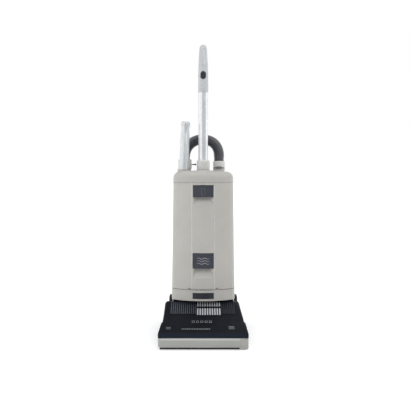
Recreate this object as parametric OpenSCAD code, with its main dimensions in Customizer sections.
// Upright vacuum cleaner for commercial floors: power head with a driven brush,
// reclining upright body with bag compartment, instant-use hose, wand and handle.
// Millimetres, +Z up. Origin on the floor, at the centre of the footprint.
// The front of the machine faces -Y, +X is to the right seen from the front.

/* [Head] */
// Width of the power head at its front edge
head_w = 310; // [306:1:314]
// Height of the grey bumper strip
bumper_h = 34; // [30:1:36]
// Radius of the rear wheels over the tyre
wheel_r = 28; // [26:0.5:30]
// Radius of the brush over the bristle tips
brush_r = 26; // [22:0.5:26]
// Number of rib and slot pitches across one row of the vent
slot_n = 10; // [6:1:10]

/* [Upright body] */
// Half width of the body at its lower edge
body_hw0 = 118.4; // [116:0.1:119]
// Half width of the body under its top cap
body_hw1 = 111.6; // [110:0.1:114]
// Wall thickness of the moulded shells
wall = 3; // [2.5:0.1:3.5]
// Height of the body's lower edge above the floor
body_z0 = 129; // [129:1:131]
// Width of the raised centre strip on the bag door
strip_w = 84; // [80:1:88]

/* [Handle, wand and hose] */
// Outer diameter of the handle tube
tube_d = 37; // [35:0.5:37]
// Height of the lower end of the grip
grip_z0 = 913; // [880:1:940]
// Outer diameter of the wand
wand_d = 35; // [34:0.5:36]
// Outer diameter of the hose
hose_d = 39.6; // [38:0.2:39.6]
// Height of the centre of the hose arch
arch_z = 667; // [662:1:690]

/* [Hidden] */
$fn = 64;

// axes that run along X, as [y, z]
pivot_axis = [30, 85];       // recline pivot
wheel_axis = [75, wheel_r];
brush_axis = [-208, 27];
motor_axis = [-128, 50];     // brush motor
roller_axis = [-165, 9.5];
pedal_axis = [84, 20];
hinge_axis = [-88, 175];     // door hinge

// upright axes, as [x, y]
left_port = [-72.5, 60];     // hose ports
right_port = [62.5, 60];
wand_axis = [-75, 12];
tube_y = 15;
tube_axis = [0, tube_y];
fan_axis = [0, 27];

// the parts are drawn from a datum behind the head; place() then sets the
// centre of the whole footprint at the origin
head_front_y = -245;
pedal_tip_y = 127.2;
pedal_tip_r = 2.6;
module place() translate([0, -(head_front_y + pedal_tip_y + pedal_tip_r) / 2, 0]) children();

cream = [0.74, 0.73, 0.70];
grey = [0.70, 0.70, 0.68];
black = [0.07, 0.075, 0.085];
dark = [0.20, 0.22, 0.25];
steel = [0.75, 0.76, 0.78];
screw_grey = [0.45, 0.46, 0.48];
mid_grey = [0.62, 0.62, 0.60];
pipe_grey = [0.30, 0.31, 0.32];

// ---------- shared shapes ----------
// points on an arc of the given number of steps, from index first, less the last drop points
function arc(centre, radius, from, to, steps, first = 0, drop = 0) =
    [for (i = [first:steps - drop])
        let (angle = from + (to - from) * i / steps)
        centre + radius * [cos(angle), sin(angle)]];

// solid through a stack of rings that have the same number of points
module loft(rings) {
    n = len(rings[0]);
    top = (len(rings) - 1) * n;
    polyhedron(points = [for (ring = rings) each ring],
               faces = concat([[for (i = [0:n - 1]) i]],
                              [for (k = [0:n:top - n], i = [0:n - 1]) let (j = (i + 1) % n)
                                  each [[k + i, k + n + i, k + n + j],
                                        [k + i, k + n + j, k + j]]],
                              [[for (i = [n - 1:-1:0]) top + i]]));
}

// cylinders between two ends on one axis; the centre is the other two coordinates
module x_rod(radius, x0, x1, centre)
    translate([x0, centre[0], centre[1]]) rotate([0, 90, 0]) cylinder(r = radius, h = x1 - x0);
module y_rod(radius, y0, y1, centre)
    translate([centre[0], y0, centre[1]]) rotate([-90, 0, 0]) cylinder(r = radius, h = y1 - y0);
module z_rod(radius, z0, z1, centre)
    translate([centre[0], centre[1], z0]) cylinder(r = radius, h = z1 - z0);

// x_rod on the right (side = 1) or mirrored to the left (side = -1)
module side_rod(side, radius, inner_x, outer_x, centre)
    x_rod(radius, side > 0 ? inner_x : -outer_x, side > 0 ? outer_x : -inner_x, centre);

module block(x0, x1, y0, y1, z0, z1) translate([x0, y0, z0]) cube([x1 - x0, y1 - y0, z1 - z0]);

// copies in a row along X, or evenly round an axis
module row(count, pitch) for (i = [0:count - 1]) translate([pitch * i, 0, 0]) children();
module around_x(count, centre) for (i = [0:count - 1])
    translate([0, centre[0], centre[1]]) rotate([i * 360 / count, 0, 0]) children();
module around_z(count, centre = [0, 0], start = 0) for (i = [0:count - 1])
    translate([centre[0], centre[1], 0]) rotate([0, 0, start + i * 360 / count]) children();

// slotted screw with its shank standing on z = 0
module screw(shank_r, length, head_r, head_h) difference() {
    union() {
        cylinder(r = shank_r, h = length + 0.5);
        translate([0, 0, length]) cylinder(r = head_r, h = head_h);
    }
    translate([-head_r * 0.6, -0.5, length + head_h - 1]) cube([head_r * 1.2, 1, 2]);
    translate([-0.5, -head_r * 0.6, length + head_h - 1]) cube([1, head_r * 1.2, 2]);
}

// ---------- body section ----------
body_top = 611;
front_y = -95;               // front of the body at its centre line
rear_y = 90;
bulge = 33;                  // how far the front bows out
front_r = 25;                // corner radii
rear_r = 26;
seam_y = -44.8;              // vertical seam between door and rear shell
door_z0 = 170.9;
door_z1 = 564.6;

function half_w(z) = body_hw0 + (body_hw1 - body_hw0) * (z - body_z0) / (body_top - body_z0);
// radius of the bowed front for a half width
function bow_r(half) = (half * half + bulge * bulge) / (2 * bulge);

// plan section of the body, moved inwards by inset, anticlockwise
function body_section(half, inset) =
    let (bow = bow_r(half),
         bow_y = front_y + bow,
         corner_x = half - front_r,
         sweep = asin(corner_x / (bow - front_r)),
         corner_y = bow_y - sqrt(pow(bow - front_r, 2) - pow(corner_x, 2)))
    concat(arc([0, bow_y], bow - inset, 270 - sweep, 270 + sweep, 16),
           arc([corner_x, corner_y], front_r - inset, 270 + sweep, 360, 6, first = 1),
           arc([half - rear_r, rear_y - rear_r], rear_r - inset, 0, 90, 6),
           arc([rear_r - half, rear_y - rear_r], rear_r - inset, 90, 180, 6),
           arc([-corner_x, corner_y], front_r - inset, 180, 270 - sweep, 6, drop = 1));

function body_ring(z, inset, shrink = 1) =
    [for (p = body_section(half_w(z), inset)) [p[0] * shrink, p[1] * shrink, z]];

module body_solid(z0, z1, inset) loft([body_ring(z0, inset), body_ring(z1, inset)]);

// wall between two insets, open at both ends
module body_band(z0, z1, outer, inner, over = 1) difference() {
    body_solid(z0, z1, outer);
    body_solid(z0 - over, z1 + over, inner);
}
module body_shell(z0, z1) body_band(z0, z1, 0, wall);

// ---------- head cover ----------
head_hw = head_w / 2;
slope = 20;                  // slope of the head cover, degrees
slope_y0 = -236;             // front edge of the slope and its height
slope_z0 = 57;
function slope_z(y) = slope_z0 + (y - slope_y0) * tan(slope);

// cover stations: y, half width to the left, to the right, top, edge radius
nose_outer = [
    [-176, 144.5, 145, slope_z(-176), 8],
    [-181, head_hw - 6.5, head_hw - 5.5, slope_z(-181), 8],
    [slope_y0, head_hw, head_hw, slope_z0, 6],
    [-241.5, head_hw - 0.6, head_hw - 0.6, 54, 5],
    [head_front_y + 0.6, head_hw - 2.5, head_hw - 2.5, 47.5, 3]];
rear_outer = [
    [-42, 139.5, 132.5, slope_z(-64) - 3, 8],
    [-50, 141, 133.5, slope_z(-64) - 0.6, 9],
    [-64, 142.5, 134.5, slope_z(-64), 9],
    [-110, 142.5, 138.5, slope_z(-110), 8],
    [-150, 143, 143, slope_z(-150), 8],
    [-178, 144.5, 145, slope_z(-178), 8]];
nose_inner = [
    [-170, 141, 141.5, slope_z(-170) - 3.2, 6],
    [-183, head_hw - 9.5, head_hw - 8.5, slope_z(-183) - 3.2, 6],
    [slope_y0, head_hw - 3.2, head_hw - 3.2, 53.5, 5],
    [-241, head_hw - 4.5, head_hw - 4.5, 49, 3]];
rear_inner = [
    [-30, 136, 129.5, slope_z(-64) - 6.6, 7],
    [-64, 139, 131, slope_z(-64) - 3.4, 7],
    [-110, 139, 135, slope_z(-110) - 3.2, 7],
    [-150, 139.5, 139.5, slope_z(-150) - 3.2, 7],
    [-174.5, 141, 141.5, slope_z(-174.5) - 3.2, 7],
    [-182, 141, 141.5, slope_z(-182) - 3.2, 7]];

function cover_ring(station, base) =
    let (left = station[1], right = station[2], top = station[3], edge = station[4])
    [for (p = concat([[-left, base], [right, base]],
                     arc([right - edge, top - edge], edge, 0, 90, 5),
                     arc([edge - left, top - edge], edge, 90, 180, 5)))
        [p[0], p[1], -station[0]]];
module cover_block(stations, base)
    rotate([90, 0, 0]) loft([for (station = stations) cover_ring(station, base)]);

// bar lying on the slope, centred on x, from low to high above the surface
module slope_bar(y0, y1, x, width, low, high)
    translate([x - width / 2, y0, slope_z(y0)]) rotate([slope, 0, 0])
        translate([0, 0, low]) cube([width, (y1 - y0) / cos(slope), high - low]);

slot_rows = [[-92.5, -66], [-142, -103]];  // y range of each row, the rear one first
slot_x0 = -19.8;             // first slot
slot_p = 8.9;                // pitch of the slots
rib_p = 7.4;                 // pitch of the ribs beside them
slots_w = slot_p * (slot_n - 1);
lens_x = -3;                 // centre of the indicator window
cover_screw_x = [-118, 118];
cover_screw_y = -58;

module head_cover() color(black) difference() {
    union() {
        difference() {
            union() {
                cover_block(nose_outer, 40.3);
                cover_block(rear_outer, 6.3);
            }
            union() {
                cover_block(nose_inner, 30);
                cover_block(rear_inner, 0);
            }
        }
        // shallow ribs on both sides of the slots
        row(13, -rib_p) slope_bar(-141, -66, slot_x0 - 8, 3, -2, 1.6);
        row(7, rib_p) slope_bar(-141, -66, slot_x0 + slots_w + 8, 3, -2, 1.6);
    }
    for (y = slot_rows) row(slot_n, slot_p) slope_bar(y[0], y[1], slot_x0, 5.4, -8, 6);
    // window for the indicator lens
    slope_bar(-197, -163, lens_x, 76, -1.4, 5);
    slope_bar(-193, -167, lens_x, 66, -6, 5);
    // seats for the cover screws
    for (x = cover_screw_x) {
        z_rod(2.2, 100, 130, [x, cover_screw_y]);
        z_rod(4.2, 117.5, 130, [x, cover_screw_y]);
    }
}

module cover_screws() color(screw_grey)
    for (x = cover_screw_x) translate([x, cover_screw_y, 97.6])
        screw(shank_r = 1.88, length = 20, head_r = 4, head_h = 2.2);

module vent_insert() color(cream) union() {
    slope_bar(-145, -64, slot_x0 + slots_w / 2, slot_p * slot_n + 4, -7.2, -5.2);
    for (y = slot_rows)
        row(slot_n, slot_p) slope_bar(y[0] + 0.5, y[1] - 0.5, slot_x0, 4.6, -5.3, 0.4);
}

module indicator_lens() color(dark) slope_bar(-196.6, -163.4, lens_x, 75.2, -1.3, 0.5);

// board with a row of five square blocks
module indicator_board() color([0.10, 0.35, 0.18]) union() {
    slope_bar(-193, -167, lens_x, 62, -9.4, -7.8);
    row(5, 12) slope_bar(-182, -178, -27, 4, -7.9, -5);
}

// ---------- bumper ----------
bumper_top = bumper_h + 6.1;
bumper_rear_y = -181;
bumper_corner_r = 14;
cap_split_x = 126;           // the access cap is the bumper's right end

function bumper_ring(inset, z) =
    let (x = head_hw - inset - bumper_corner_r, y = head_front_y + inset + bumper_corner_r)
    [for (p = concat(
        arc([-x, y], bumper_corner_r, 180, 270, 6),
        arc([x, y], bumper_corner_r, 270, 360, 6),
        [[head_hw - 8 - inset, bumper_rear_y], [8 + inset - head_hw, bumper_rear_y]]))
        [p[0], p[1], z]];

module bumper_block(base) loft([for (station = [  // inset, z
    [1.2, base], [0.3, base + 0.8], [0, base + 2],
    [0, bumper_top - 9], [0.3, bumper_top - 6], [0.9, bumper_top - 3.4],
    [1.7, bumper_top - 1.5], [2.8, bumper_top - 0.4], [3.4, bumper_top]])
    bumper_ring(station[0], station[1])]);

module front_bumper() color(grey) difference() {
    bumper_block(7.8);
    linear_extrude(60) polygon([
        [-head_hw + 4, head_front_y + 5], [head_hw - 4, head_front_y + 5],
        [head_hw - 11, -180], [11 - head_hw, -180]]);
    block(cap_split_x, 170, -260, -170, 0, 60);
}

module brush_access_cap() color(grey) difference() {
    intersection() {
        bumper_block(1);
        block(cap_split_x + 0.4, 170, -260, bumper_rear_y - 0.5, 0, 60);
    }
    block(120, 147.5, head_front_y + 5, -170, -1, 60);
    // pull grip on the outer side
    block(151.5, 160, -222, -196, 14, 26);
}

// ---------- chassis ----------
floor_outline = [
    [-148, -243], [124, -243], [124, -181], [137, -178], [127, -64], [129, 60],
    [129, 84], [-129, 84], [-129, 60], [-137, -64], [-138, -178], [-145, -181]];
// side cheek in the YZ plane
cheek_outline = concat(
    [[-41, 4], [88, 4], [100, 14]], arc([84, 44], 16, 0, 70, 4), [[62, 92]],
    arc([10, 112], 19, 60, 110, 5), arc([-22, 119], 12, 70, 160, 5), [[-41, 102]]);
roller_x = [-86, 63];        // left faces of the roller brackets
chamber_r = 31.5;            // brush chamber, outside
chamber_x0 = -115;
chamber_x1 = 119;
end_plate = 4;               // thickness of its end plates
duct_x0 = -93;               // sides of the suction duct
duct_x1 = -47;

// block as wide as the suction duct, less an inset on each side
module duct_block(inset, y0, y1, z0, z1) block(duct_x0 + inset, duct_x1 - inset, y0, y1, z0, z1);
module below_chamber() block(-160, 160, -260, -170, -20, 5);

module chassis() color(black) difference() {
    union() {
        translate([0, 0, 2]) linear_extrude(4) polygon(floor_outline);
        // front lip below the bumper
        block(-146.5, 124, -243.4, -237, 5.9, 7.5);
        // brush chamber with end plates
        difference() {
            x_rod(chamber_r, chamber_x0, 124, brush_axis);
            x_rod(29, chamber_x0 - 1, 125, brush_axis);
            below_chamber();
        }
        for (x = [chamber_x0 - end_plate, chamber_x1]) difference() {
            x_rod(chamber_r, x, x + end_plate, brush_axis);
            below_chamber();
        }
        block(chamber_x0, chamber_x1, -180, -177, 4, 34);
        for (x = [-129, 121])
            translate([x, 0, 0]) rotate([90, 0, 90]) linear_extrude(8) polygon(cheek_outline);
        // bosses for the rear stub axles
        for (side = [-1, 1]) side_rod(side, 9, 121, 129.5, wheel_axis);
        // cross wall at the rear, open for the duct
        difference() {
            block(-121.5, 121.5, -41, -38, 4, 113);
            duct_block(-1, -50, -30, 8, 47.5);
        }
        // motor cradles
        for (x = [-32, 34]) block(x, x + 6, -150, -106, 5, 30);
        // pedal brackets
        for (x = [-118, -66]) block(x, x + 5, 74, 92, 4, 27);
        // roller brackets
        for (x = roller_x) row(2, 20) block(x, x + 3, -174, -156, 4, 17);
        // cover screw posts
        for (x = cover_screw_x) z_rod(5.5, 4, 112.4, [x, cover_screw_y]);
        // foot of the pedal spring
        block(-112, -66, 80, 112, 2, 6);
    }
    // brush mouth
    block(chamber_x0, chamber_x1, -229, -187, -5, 15);
    x_rod(28.9, chamber_x0, chamber_x1, brush_axis);
    // brush bearing seats in the end plates
    x_rod(9.05, -140, 130, brush_axis);
    // air port from the chamber
    duct_block(3, -185, -170, 20, 33);
    // motor seat
    x_rod(26.2, -60, 60, motor_axis);
    // roller pockets and pin holes
    for (x = roller_x) block(x + 3.5, x + 19.5, -176, -154, -5, 20);
    for (x = [-90, 60]) x_rod(2.5, x, x + 32, roller_axis);
    // pivots, axles, pedal pin
    for (side = [-1, 1]) {
        side_rod(side, 8.06, 110, 130, pivot_axis);
        side_rod(side, 5, 118, 131, wheel_axis);
    }
    x_rod(2.5, -120, -60, pedal_axis);
    // cover screw pilot holes
    for (x = cover_screw_x) z_rod(1.9, 90, 113, [x, cover_screw_y]);
    // clearance above the floor under the front of the pedal
    block(-113, -65, 76, 91, 5.9, 12);
}

// ---------- brush and its drive ----------
brush_shaft_r = 4;
motor_shaft_r = 3;
brush_pulley_r = 13;
motor_pulley_r = 8;
pulley_x0 = -133;            // left and right faces of both pulleys
pulley_x1 = -123;
bristle_x0 = -108;           // first tuft, its length and the pitch along the core
bristle_l = 17.5;
bristle_p = 18.5;

module brush_core() color([0.16, 0.17, 0.19]) union() {
    x_rod(16, -112, 116, brush_axis);
    x_rod(brush_shaft_r, -133.5, 122, brush_axis);
    for (x = [-114, 114]) x_rod(19, x, x + 4, brush_axis);
}

// four rows of bristle blocks that step round the core
module brush_bristles() color([0.85, 0.85, 0.82])
    for (k = [0:3], j = [0:11])
        translate([0, brush_axis[0], brush_axis[1]]) rotate([k * 90 + j * 12, 0, 0])
            translate([bristle_p * j, 0, 0])
                block(bristle_x0, bristle_x0 + bristle_l, -2, 2, 16.02, brush_r);

module brush_pulley() color(black) difference() {
    union() {
        x_rod(brush_pulley_r, pulley_x0, pulley_x1, brush_axis);
        x_rod(16, pulley_x0 - 1, pulley_x0, brush_axis);
    }
    x_rod(brush_shaft_r, -140, -120, brush_axis);
    around_x(20, brush_axis) block(pulley_x0 + 0.1, pulley_x1 + 1, -0.9, 0.9, 11.8, 14);
}

module brush_bearings() color([0.55, 0.56, 0.58])
    for (x = [chamber_x0 - end_plate, chamber_x1]) difference() {
        x_rod(9, x, x + end_plate, brush_axis);
        x_rod(brush_shaft_r + 0.05, x - 10, x + 11, brush_axis);
    }

module brush_motor() color([0.50, 0.51, 0.53]) difference() {
    union() {
        x_rod(26, -40, 46, motor_axis);
        x_rod(10, -44, -40, motor_axis);
        x_rod(12, 46, 52, motor_axis);
    }
    x_rod(motor_shaft_r + 0.05, -50, 32, motor_axis);
    around_x(12, motor_axis) block(20, 40, -2, 2, 22, 30);
}

module motor_pulley() color(mid_grey) difference() {
    union() {
        x_rod(motor_shaft_r, -134, 30, motor_axis);
        x_rod(motor_pulley_r, pulley_x0, pulley_x1, motor_axis);
    }
    around_x(12, motor_axis) block(pulley_x0 + 0.1, pulley_x1 + 1, -0.8, 0.8, 7, 9);
}

// outline round both pulleys at a gap outside them
module belt_plan(gap) {
    span = motor_axis - brush_axis;
    lean_angle = asin((brush_pulley_r - motor_pulley_r) / norm(span));
    heading = atan2(span[1], span[0]);
    polygon(concat(
        arc(brush_axis, brush_pulley_r + gap,
            heading + 90 - lean_angle, heading + 270 + lean_angle, 40),
        arc(motor_axis, motor_pulley_r + gap,
            heading - 90 + lean_angle, heading + 90 - lean_angle, 30)));
}

// plain band that clears both pulleys
module drive_belt() color([0.05, 0.05, 0.05])
    translate([pulley_x0 + 1, 0, 0]) rotate([90, 0, 90]) linear_extrude(8) difference() {
        belt_plan(1.9);
        belt_plan(0.3);
    }

// ---------- suction duct ----------
module suction_duct() color(black) difference() {
    union() {
        duct_block(0, -176.2, -10, 10, 46);
        duct_block(0, -22, 16, 10, 84);
    }
    difference() {
        duct_block(2.5, -190, -12, 12.5, 43.5);
        duct_block(2, -191, -151.5, 12, 22.5);
    }
    duct_block(2.5, -19.5, 30, 12.5, 81.5);
    x_rod(31.6, -100, -40, pivot_axis);
    duct_block(-1, -177, -154, 5, 20);
}

module neck_seal() color([0.03, 0.03, 0.03]) difference() {
    intersection() {
        x_rod(31.5, duct_x0, duct_x1, pivot_axis);
        duct_block(0, -10, 14, 40, 84);
    }
    x_rod(30.4, -100, -40, pivot_axis);
    duct_block(4, -20, 20, 44, 80);
}

// ---------- wheels and rollers ----------
wheel_x = [-148, 131];       // left faces of the wheels
wheel_w = 17;
hub_r = 9;
rim_r = wheel_r - 5;

module axles() color(steel) {
    for (x = roller_x) x_rod(2.5, x, x + 23, roller_axis);
    for (side = [-1, 1]) {
        side_rod(side, 4.95, 121.2, 149, wheel_axis);
        side_rod(side, 7, 149, 150.5, wheel_axis);
    }
}

module wheel(x0) color([0.12, 0.125, 0.135]) difference() {
    x_rod(rim_r, x0, x0 + wheel_w, wheel_axis);
    x_rod(5.02, x0 - 5, x0 + 25, wheel_axis);
    // ring recess in each face
    for (x = [x0 - 1, x0 + 12]) difference() {
        x_rod(wheel_r - 9, x, x + 6, wheel_axis);
        x_rod(hub_r, x - 1, x + 7, wheel_axis);
    }
}
module wheel_left() wheel(wheel_x[0]);
module wheel_right() wheel(wheel_x[1]);

module tyre(x0) color(pipe_grey)
    translate([x0 + 0.5, wheel_axis[0], wheel_axis[1]]) rotate([0, 90, 0]) rotate_extrude()
        polygon([[rim_r, 0], [wheel_r - 1.5, 0], [wheel_r, 2.5],
                 [wheel_r, 13.5], [wheel_r - 1.5, 16], [rim_r, 16]]);
module tyre_left() tyre(wheel_x[0]);
module tyre_right() tyre(wheel_x[1]);

module roller(x0) color([0.45, 0.46, 0.47]) difference() {
    x_rod(9.5, x0, x0 + 14, roller_axis);
    x_rod(2.55, x0 - 1, x0 + 15, roller_axis);
}
module roller_left() roller(roller_x[0] + 4.5);
module roller_right() roller(roller_x[1] + 4.5);

// ---------- foot pedal ----------
pedal_x0 = -112.6;
pedal_w = 46.2;
pedal_x1 = pedal_x0 + pedal_w;
pedal_tilt = 8;

module foot_pedal() color(black) difference() {
    union() {
        x_rod(6, pedal_x0, pedal_x1, pedal_axis);
        translate([pedal_x0, pedal_axis[0], pedal_axis[1]]) rotate([pedal_tilt, 0, 0])
            cube([pedal_w, 44, 5]);
        x_rod(pedal_tip_r, pedal_x0, pedal_x1, [pedal_tip_y, 28.6]);
        block(-92, -86, 66, 84, 17, 21);
        // tread ribs
        row(5, 8.6) translate([-108, 96, 26.2]) rotate([pedal_tilt, 0, 0]) cube([3.4, 28, 1.8]);
    }
    x_rod(2.56, -120, -60, pedal_axis);
}

module pedal_pin() color(steel) x_rod(2.5, -118, -61, pedal_axis);

// coil spring swept as one polyhedron, with a six-sided wire section
module coil(radius, wire_r, height, turns, steps) {
    n = steps * turns;
    points = [for (i = [0:n], j = [0:5])
        let (turn = 360 * i / steps, reach = radius + wire_r * cos(60 * j))
        [reach * cos(turn), reach * sin(turn), height * i / n + wire_r * sin(60 * j)]];
    polyhedron(points = points, faces = concat(
        [[for (j = [0:5]) j]],
        [for (i = [0:n - 1], j = [0:5]) let (k = (j + 1) % 6)
            each [[i * 6 + j, (i + 1) * 6 + j, (i + 1) * 6 + k],
                  [i * 6 + j, (i + 1) * 6 + k, i * 6 + k]]],
        [[for (j = [5:-1:0]) n * 6 + j]]));
}

module pedal_spring() color([0.7, 0.7, 0.72]) translate([-89, 101, 6.85])
    coil(radius = 5, wire_r = 0.8, height = 12.6, turns = 5, steps = 16);

// ---------- neck ----------
module neck_yoke() color(black) difference() {
    union() {
        x_rod(30, -117, 117, pivot_axis);
        block(-117, 117, 8, 52, pivot_axis[1], body_z0 - 0.2);
        duct_block(-3, 8, 83, 104, body_z0 - 0.2);
    }
    // air way from the rotating mouth to the riser
    z_rod(18, 108, 140, left_port);
    duct_block(5, 18, 60, 98, 118);
    x_rod(22, -88, -52, pivot_axis);
    translate([left_port[0], pivot_axis[0], pivot_axis[1]]) rotate([130, 0, 0])
        cylinder(r = 17, h = 40);
    // pin bores
    for (side = [-1, 1]) side_rod(side, 8, 100, 120, pivot_axis);
    // weight saving pocket
    block(-38, 90, 12, 48, 100, 124);
}

module pivot_pins() color(steel) for (side = [-1, 1]) {
    side_rod(side, 8, 101, 129, pivot_axis);
    side_rod(side, 11, 129.2, 131.5, pivot_axis);
    // joins the pin to its head
    side_rod(side, 8, 128.9, 129.3, pivot_axis);
}

// ---------- rear shell and top cap ----------
shell_screw_x = [-85, 85];
shell_screw_z = [150, 450];
hook_z = [330, 540];         // lower and upper cord hook
cap_r = 23;                  // radius round the top edge
cap_arc_z = body_top - 5 - cap_r;

module rear_shell() color(cream) difference() {
    union() {
        body_shell(body_z0, 565);
        body_solid(body_z0, body_z0 + 4, 0.5);
        // mounting pads for the cord hooks
        for (z = hook_z) y_rod(14, rear_y - 6, rear_y + 4, [0, z]);
    }
    block(-200, 200, -200, seam_y + 0.2, 0, 700);
    z_rod(18.05, 100, 160, left_port);
    // grille for motor cooling air at the lower rear
    row(9, 11) block(-44, -39, rear_y - 8, rear_y + 8, 165, 215);
    // seats of the housing screws
    for (x = shell_screw_x, z = shell_screw_z) {
        y_rod(4, rear_y - 1.5, rear_y + 2, [x, z]);
        y_rod(2, rear_y - 10, rear_y + 2, [x, z]);
    }
    for (z = hook_z) y_rod(5, rear_y - 10, rear_y + 10, [0, z]);
}

module shell_screws() color(screw_grey)
    for (x = shell_screw_x, z = shell_screw_z) translate([x, rear_y - 13.5, z])
        rotate([-90, 0, 0]) screw(shank_r = 1.98, length = 12, head_r = 3.9, head_h = 2);

// body rings that curl inwards along the cap's edge
function cap_rings(radius, inset, angles) = [for (angle = angles)
    body_ring(cap_arc_z + radius * sin(angle), inset + radius * (1 - cos(angle)))];

// lens-shaped prism at the front of the right cuff, grown by gap
module lens_pad(gap) translate([right_port[0], right_port[1] - 25, 622.6]) rotate([-90, 0, 0])
    linear_extrude(10) intersection() {
        translate([0, 21.25]) circle(r = 26.6 + gap, $fn = 96);
        translate([0, -21.25]) circle(r = 26.6 + gap, $fn = 96);
    }

module top_cap() color(cream) difference() {
    union() {
        difference() {
            loft(concat([body_ring(565.4, 0), body_ring(cap_arc_z, 0)],
                        cap_rings(cap_r, 0, [15:15:75]),
                        [for (crown = [[-4.4, 0.98], [-1.8, 0.66], [0.6, 0.33], [1.2, 0.12]])
                            body_ring(body_top + crown[0], cap_r, crown[1])]));
            loft(concat([body_ring(560, wall), body_ring(cap_arc_z, wall)],
                        cap_rings(cap_r - wall, wall, [30:30:90])));
        }
        // locating skirt that drops into the rear shell
        difference() {
            loft([body_ring(559, wall + 0.4), body_ring(565.1, wall + 0.4),
                  body_ring(565.4, wall - 0.6), body_ring(568, wall - 0.6)]);
            body_solid(550, 570, wall + 2.6);
            block(-200, 200, -200, -40, 0, 700);
        }
        // ports and sockets
        z_rod(24, body_top - 12, body_top + 6, left_port);
        z_rod(23, body_top - 12, body_top + 9.7, right_port);
        z_rod(25, body_top - 10, body_top + 5, wand_axis);
        z_rod(24.5, 562, body_top + 4, tube_axis);
    }
    z_rod(18.55, 540, 700, tube_axis);
    z_rod(19.1, 540, 700, left_port);
    z_rod(19.1, 540, 700, right_port);
    z_rod(19.3, 540, 700, wand_axis);
    lens_pad(0.5);
}

// ---------- lower band ----------
ear_x = [-37, -17, 13, 33];  // left faces of the hinge ears
ear_w = 4;
hinge_y = hinge_axis[0];
hinge_z = hinge_axis[1];
strip_rise = 1.2;            // height of the door's centre strip over its surface
strip_edge_sq = 0.82;        // square of the strip's lower edge height from the hinge

// radius swept by the door's lower lip about its hinge, at distance x from the centre
function relief_r(x) =
    let (bow = bow_r(half_w(171)),
         ahead = max(0, hinge_y - (front_y + bow - sqrt(bow * bow - x * x))),
         lip = sqrt(ahead * ahead + pow(hinge_z - door_z0, 2)),
         strip = abs(x) < 44 ? sqrt(pow(ahead + strip_rise, 2) + strip_edge_sq) : 0)
    max(lip, strip) + 0.3;

module lower_band() color(cream) difference() {
    union() {
        difference() {
            union() {
                body_shell(body_z0, door_z0 - 1.8);
                body_solid(body_z0, body_z0 + 4, 0.5);
            }
            // relief for the door's swinging edge
            translate([0, hinge_y, hinge_z]) rotate([0, 90, 0]) rotate_extrude()
                polygon(concat([[0, -64], [relief_r(-64), -64]],
                               [for (x = [-62:4:62]) [relief_r(x), x]],
                               [[relief_r(64), 64], [0, 64]]));
        }
        // ears for the door hinge
        for (x = ear_x) {
            x_rod(4, x, x + ear_w, hinge_axis);
            block(x, x + ear_w, hinge_y, hinge_y + 8.4, hinge_z - 2.4, hinge_z + 2.4);
            block(x, x + ear_w, hinge_y + 4.6, hinge_y + 8.4, 160, hinge_z);
            block(x, x + ear_w, -92.6, hinge_y + 8.4, 160, 163);
        }
    }
    block(-200, 200, seam_y, 200, 0, 700);
    x_rod(2, -50, 50, hinge_axis);
    // window of the exhaust vent
    block(-39.2, 39.2, -110, -80, 136.6, 159.4);
}

module exhaust_vent() color(dark) difference() {
    union() {
        intersection() {
            body_band(135, 160, 0.8, 4.6);
            block(-38.8, 38.8, -110, -80, 137, 159);
        }
        // flange behind the window
        intersection() {
            body_band(132, 163, 3.2, 5);
            block(-43, 43, -110, -80, 134, 159.6);
        }
    }
    for (i = [0:4]) block(-35, 35, -110, front_y + 2.6, 140.4 + 3.6 * i, 141.6 + 3.6 * i);
}

// ---------- bag door and latches ----------
// tile bottom, tile top, lower end of its finger recess, tile half width
door_tile = [512, 555, 481, 37];
filter_tile = [249.5, 304.5, 212.5, 38];

// solid backing of a tile and its recess
module tile_backing(tile) intersection() {
    body_solid(tile[2] - 8, tile[1] + 6, 1);
    block(-41, 41, -110, -73, tile[2] - 4, tile[1] + 4);
}

// wedge that is deepest under the tile and runs out to the surface below
module finger_recess(tile) {
    low = tile[2];
    high = tile[0] + 0.4;
    deep_y = front_y + 18;
    polyhedron(points = [[-39.6, -99, low - 2], [39.6, -99, low - 2],
                         [39.6, -99, high], [-39.6, -99, high],
                         [-37.5, -93.2, low + 2], [37.5, -93.2, low + 2],
                         [24, deep_y, high], [-24, deep_y, high]],
               faces = [[2, 1, 0], [3, 2, 0], [6, 7, 4], [5, 6, 4], [5, 4, 0], [1, 5, 0],
                        [6, 5, 1], [2, 6, 1], [7, 6, 2], [3, 7, 2], [4, 7, 3], [0, 4, 3]]);
}

// layer of the raised strip, moved in from the strip's sides
module strip_layer(rise, side_inset, lower_gap) intersection() {
    body_band(door_z0, door_z1, -rise, 2);
    block(side_inset - strip_w / 2, strip_w / 2 - side_inset, -110, -60,
          door_z0 + lower_gap, door_z1);
}

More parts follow.
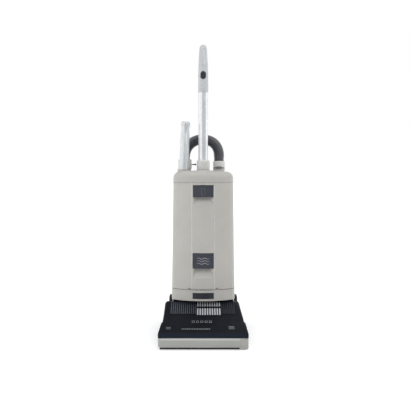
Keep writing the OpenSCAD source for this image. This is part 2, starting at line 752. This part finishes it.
module bag_door() color(cream) difference() {
    union() {
        body_shell(door_z0, door_z1);
        strip_layer(strip_rise, 0.7, 3.2);
        strip_layer(strip_rise / 2, 0, 2.4);
        tile_backing(door_tile);
        tile_backing(filter_tile);
        // hinge lugs
        for (x = [-32.6, 17.4]) {
            x_rod(4, x, x + 15.2, hinge_axis);
            block(x, x + 15.2, -93, hinge_y, hinge_z - 3, hinge_z + 4);
        }
        // stiffening frame along the side edges
        for (x = [-120, 90]) intersection() {
            body_band(door_z0 + 6, door_z1 - 6, 2, 6, over = 6);
            block(x, x + 30, -56, seam_y - 4, 170, 565);
        }
    }
    block(-200, 200, seam_y - 0.4, 200, 0, 700);
    x_rod(2.05, -60, 60, hinge_axis);
    for (x = ear_x) x_rod(4.4, x - 0.4, x + ear_w + 0.4, hinge_axis);
    for (tile = [door_tile, filter_tile]) {
        finger_recess(tile);
        // pocket of the tile, open for its swing
        block(-tile[3] - 1, tile[3] + 1, -110, -85.5, tile[0] - 0.8, tile[1] + 1.6);
    }
    // slot for the latch tongue
    block(-11.5, 11.5, -93, -78, 540, 566);
}

// curved tile with a barrel behind its upper edge
module latch_tile(tile) {
    top = tile[1];
    intersection() {
        body_band(tile[0] - 1, top + 1, -1.6, 3.2);
        block(-tile[3], tile[3], -110, -80, tile[0], top);
    }
    x_rod(2, -37, 37, [-90.6, top - 2.5]);
    block(-35, 35, -92.6, -90.6, top - 4.5, top - 0.5);
}

module door_latch() color(dark) union() {
    latch_tile(door_tile);
    // tongue
    block(-9, 9, -91.5, -87.5, door_tile[1] - 6, door_tile[1] - 1);
    block(-9, 9, -89.5, -87.2, door_tile[1] - 6, 574);
}

module filter_latch() color(dark) union() latch_tile(filter_tile);

module door_hinge_pins() color(steel)
    for (x = [-37, 13]) x_rod(1.99, x, x + 24, hinge_axis);

// ---------- bag compartment ----------
inlet_z = 500;               // height of the bag inlet
inlet_centre = [right_port[0], inlet_z];
floor_z0 = 291;              // floor over the motor chamber
floor_z1 = 296;

module compartment_frame() color(mid_grey) difference() {
    union() {
        // rear wall
        block(-106, 106, -13, -10, floor_z1, 556);
        // floor, behind and ahead of the seam
        intersection() {
            body_solid(288, 300, 3.3);
            block(-200, 200, seam_y + 0.6, -10, floor_z0, floor_z1);
        }
        intersection() {
            body_solid(288, 300, 6.8);
            block(-200, 200, -72, seam_y + 0.7, floor_z0, floor_z1);
        }
        // ledges for the collar
        block(14, 22, -30, -13, 452, 548);
        block(104, 106, -30, -13, 452, 548);
        block(14, 106, -30, -13, 448, 452);
        // block at the middle of the floor's rear
        block(-20, 20, -40, -10, floor_z0, floor_z1);
    }
    y_rod(19.2, -20, 0, inlet_centre);
    for (j = [0:2]) row(9, 13.5) block(-58, -50, -66 + 16 * j, -56 + 16 * j, 280, 300);
}

module bag_collar() color([0.80, 0.74, 0.60]) difference() {
    block(22.4, 103.6, -17.4, -14, 453, 547);
    y_rod(18, -30, 0, inlet_centre);
}

module dust_bag() color([0.86, 0.83, 0.76]) block(-88, 92, -68, -31.5, 304, 470);

module exhaust_filter() color([0.88, 0.88, 0.86]) difference() {
    block(-70, 70, -66, -44, 186, 284);
    row(17, 7.6) block(-63, -59.6, -70, -48, 191, 279);
}

// ---------- suction fan ----------
fan_shaft_r = 6;
housing_z1 = 286;

module fan_housing() color([0.30, 0.31, 0.33]) difference() {
    z_rod(56, 140, housing_z1, fan_axis);
    z_rod(53, 144, 282, fan_axis);
    z_rod(26, 280, 290, fan_axis);
    around_z(16, fan_axis) block(45, 60, -3, 3, 150, 190);
    z_rod(fan_shaft_r + 0.06, 139, 146, fan_axis);
}

module fan_stator() color([0.45, 0.30, 0.18]) difference() {
    z_rod(52.8, 160, 236, fan_axis);
    z_rod(29, 155, 240, fan_axis);
    around_z(8, fan_axis, start = 22.5) block(44, 60, -6, 6, 150, 240);
}

// shaft, motor core, and blades between two discs
module fan_rotor() color([0.70, 0.71, 0.72]) union() {
    z_rod(fan_shaft_r, 140.2, 276, fan_axis);
    z_rod(27, 164, 232, fan_axis);
    z_rod(48, 252, 254, fan_axis);
    z_rod(48, 268, 269.5, fan_axis);
    around_z(9, fan_axis) translate([8, 0, 253.5]) rotate([0, 0, 25]) cube([34, 1.6, 15]);
}

module rubber_seals() color([0.08, 0.08, 0.08]) {
    // ring between the fan housing and the floor of the bag compartment
    difference() {
        z_rod(52, housing_z1, floor_z0 - 0.2, fan_axis);
        z_rod(30, 280, 300, fan_axis);
    }
    // collar under the hose cuff on the right
    difference() {
        union() {
            z_rod(22.2, 620.9, 624.3, right_port);
            intersection() {
                lens_pad(0);
                z_rod(23.2, 610, 640, right_port);
            }
        }
        z_rod(19.05, 600, 640, right_port);
    }
}

// ---------- air pipes ----------
pipe_r = 19;
pipe_bore_r = 16.8;
pipe_top = 640;

module riser_duct() color(pipe_grey) difference() {
    z_rod(pipe_r, body_z0 + 4.1, pipe_top, left_port);
    z_rod(pipe_bore_r, 100, pipe_top + 10, left_port);
}

module bag_inlet_pipe() color(pipe_grey) difference() {
    union() {
        z_rod(pipe_r, 482, pipe_top, right_port);
        y_rod(pipe_r, -13, 60, inlet_centre);
    }
    z_rod(pipe_bore_r, 485, pipe_top + 10, right_port);
    y_rod(pipe_bore_r, -20, 60, inlet_centre);
}

// ---------- wand ----------
wand_r = wand_d / 2;

// the holster and the wand lean slightly towards the handle
module lean() translate([wand_axis[0], wand_axis[1], body_top]) rotate([0, 2.2, 0])
    translate([0, 0, -body_top]) children();

module wand_holster() color(dark) lean() difference() {
    z_rod(20.6, 398, 598, [0, 0]);
    z_rod(18.3, 401, 620, [0, 0]);
}

// tube profile, radius and height: outside upwards, rounded lip, inside downwards
module wand() color([0.78, 0.79, 0.80]) lean() rotate_extrude() polygon(concat(
    [[wand_r - 1.6, 402], [wand_r, 402], [wand_r, 750], [wand_r - 1.2, 753],
     [15.6, 772], [15.6, 779], [16.4, 784], [17.4, 787.6]],
    [for (angle = [0:9:90]) [12.4 + 5.4 * cos(angle), 790.5 + 10 * sin(angle)]],
    [[12.2, 800.5], [12.2, 760], [wand_r - 2.2, 740]]));

// ---------- handle ----------
tube_r = tube_d / 2;
tube_top = grip_z0 + 44;
button_z = grip_z0 + 64;

module handle_collar() color(cream) translate([0, tube_y, 0]) difference() {
    rotate_extrude() polygon([
        [18.6, body_top + 4.1], [23.6, body_top + 4.1], [25.2, body_top + 12],
        [25.4, body_top + 34], [24, body_top + 38.5], [21, 652], [18.6, 652]]);
    // flutes round the outside
    around_z(12, start = 15) translate([26.4, 0, body_top + 12]) cylinder(r = 1.8, h = 21);
}

module handle_tube() color([0.82, 0.83, 0.84]) difference() {
    z_rod(tube_r, 568, tube_top, tube_axis);
    z_rod(tube_r - 1.8, 560, grip_z0 + 70, tube_axis);
}

// stations of the grip: height, centre Y, half width, half depth
grip_stations = [
    [0, 0, 19.5, 20], [4, 0, 19.8, 20.6], [74, 0, 19.4, 21], [102, 0.5, 18.4, 21],
    [126, 2.5, 17.3, 18.5], [148, 6, 16.2, 17], [166, 11, 15.2, 16.2], [176, 14.2, 14, 15],
    [182, 16, 12, 13], [186, 17, 9, 10], [188, 17.4, 5, 6]];
function grip_ring(station) = [for (i = [0:31]) let (angle = 360 * i / 32)
    [station[2] * cos(angle), tube_y + station[1] + station[3] * sin(angle),
     grip_z0 + station[0]]];

module handle_grip() color(cream) difference() {
    loft([for (station = grip_stations) grip_ring(station)]);
    z_rod(tube_r + 0.02, grip_z0 - 10, tube_top + 0.2, tube_axis);
    z_rod(13, grip_z0 + 40, grip_z0 + 88, tube_axis);
    // recess for the power button
    translate([0, 0, button_z]) rotate([90, 0, 0]) linear_extrude(30) button_plan(0.35);
}

// upright oblong grown by gap
module button_plan(gap) union() {
    for (y = [4.6, -4.6]) translate([0, y]) circle(r = 10 + gap);
    square([20 + 2 * gap, 9.2], center = true);
}

module power_button() color([0.06, 0.07, 0.09]) union() {
    translate([0, -2.6, button_z]) rotate([90, 0, 0]) linear_extrude(4.2) button_plan(0);
    translate([0, -6.79, button_z]) rotate([90, 0, 0]) linear_extrude(1) button_plan(-2.2);
}

// ---------- hose ----------
arch_r = (right_port[0] - left_port[0]) / 2;
arch_x = (right_port[0] + left_port[0]) / 2;
hose_r = hose_d / 2;
hose_bore_r = 17.4;
hose_z0 = 641;               // lower ends of the hose
cuff_pipe_r = 19.05;         // cuff bore round the pipe, and above the step round the hose
cuff_hose_r = 19.95;
cuff_step_z = 640.8;
release_axis = [left_port[1], 636];

module hose() color([0.26, 0.26, 0.29]) union() {
    translate([arch_x, left_port[1], arch_z]) rotate([90, 0, 0]) rotate_extrude(angle = 180)
        translate([arch_r, 0]) difference() {
            circle(r = hose_r);
            circle(r = hose_bore_r);
        }
    for (port = [left_port, right_port]) difference() {
        z_rod(hose_r, hose_z0, arch_z, port);
        z_rod(hose_bore_r, hose_z0 - 1, arch_z + 1, port);
    }
}

// cuff turned from its outer profile, up to the given top
module cuff(port, base, top, outside) translate([port[0], port[1], 0]) rotate_extrude()
    polygon(concat([[cuff_pipe_r, base]], outside,
                   [[cuff_hose_r, top], [cuff_hose_r, cuff_step_z], [cuff_pipe_r, cuff_step_z]]));

module hose_cuffs() color(cream) {
    difference() {
        cuff(left_port, body_top + 6.2, 656,
             [[25, body_top + 6.2], [26.5, body_top + 8], [26.5, 653], [25, 656]]);
        x_rod(3.3, left_port[0] + 15, left_port[0] + 30, release_axis);
    }
    difference() {
        cuff(right_port, 624.5, 649.5,
             [[22.6, 624.5], [23.2, 627], [23.4, 647], [22.4, 649.5]]);
        lens_pad(0.5);
    }
}

// stem with a ball end on the right of the left cuff
module hose_release() color([0.05, 0.05, 0.06]) union() {
    x_rod(2, left_port[0] + 23, left_port[0] + 40, release_axis);
    x_rod(3.2, left_port[0] + 21.4, left_port[0] + 24, release_axis);
    translate([left_port[0] + 41, release_axis[0], release_axis[1]]) sphere(r = 3.6);
}

// ---------- cord hooks and cable ----------
// arm at z with a plate that turns down (turn = -1) or up (turn = 1)
module hook_arm(z, turn, gap) {
    tip_z = z + 40 * turn;
    heel_z = z - 4 * turn;
    y_rod(8, rear_y + gap, rear_y + 32, [0, z]);
    block(-7, 7, rear_y + 28, rear_y + 34, min(tip_z, heel_z), max(tip_z, heel_z));
    y_rod(7, rear_y + 28, rear_y + 34, [0, tip_z]);
}

module cord_hooks() color(black) union() {
    hook_arm(hook_z[0], -1, 4.1);
    y_rod(4.9, rear_y - 8, rear_y + 4, [0, hook_z[0]]);
    y_rod(4.9, rear_y + 3, rear_y + 5, [0, hook_z[0]]);
}

module cord_hook_upper() color(black) union() {
    hook_arm(hook_z[1], 1, 4.2);
    y_rod(4.92, rear_y - 8, rear_y + 5, [0, hook_z[1]]);
    // flange inside the shell
    y_rod(9, rear_y - 10, rear_y - 6.2, [0, hook_z[1]]);
}

// oblong round both hooks
module cable_loop(radius, y0, y1) {
    for (z = hook_z) y_rod(radius, y0, y1, [0, z]);
    block(-radius, radius, y0, y1, hook_z[0], hook_z[1]);
}

module mains_cable() color([0.12, 0.12, 0.13]) difference() {
    union() cable_loop(29, rear_y + 5, rear_y + 26);
    cable_loop(9, rear_y, rear_y + 40);
}

place() chassis();
place() head_cover();
place() cover_screws();
place() front_bumper();
place() vent_insert();
place() indicator_lens();
place() indicator_board();
place() brush_motor();
place() motor_pulley();
place() drive_belt();
place() brush_core();
place() brush_bristles();
place() brush_pulley();
place() brush_bearings();
place() brush_access_cap();
place() suction_duct();
place() neck_seal();
place() axles();
place() wheel_left();
place() tyre_left();
place() wheel_right();
place() tyre_right();
place() roller_left();
place() roller_right();
place() foot_pedal();
place() pedal_pin();
place() pedal_spring();
place() neck_yoke();
place() pivot_pins();
place() rear_shell();
place() shell_screws();
place() top_cap();
place() lower_band();
place() exhaust_vent();
place() bag_door();
place() door_hinge_pins();
place() door_latch();
place() filter_latch();
place() compartment_frame();
place() bag_collar();
place() dust_bag();
place() exhaust_filter();
place() fan_housing();
place() fan_stator();
place() fan_rotor();
place() rubber_seals();
place() riser_duct();
place() bag_inlet_pipe();
place() wand_holster();
place() wand();
place() handle_collar();
place() handle_tube();
place() handle_grip();
place() power_button();
place() hose();
place() hose_cuffs();
place() hose_release();
place() cord_hooks();
place() cord_hook_upper();
place() mains_cable();
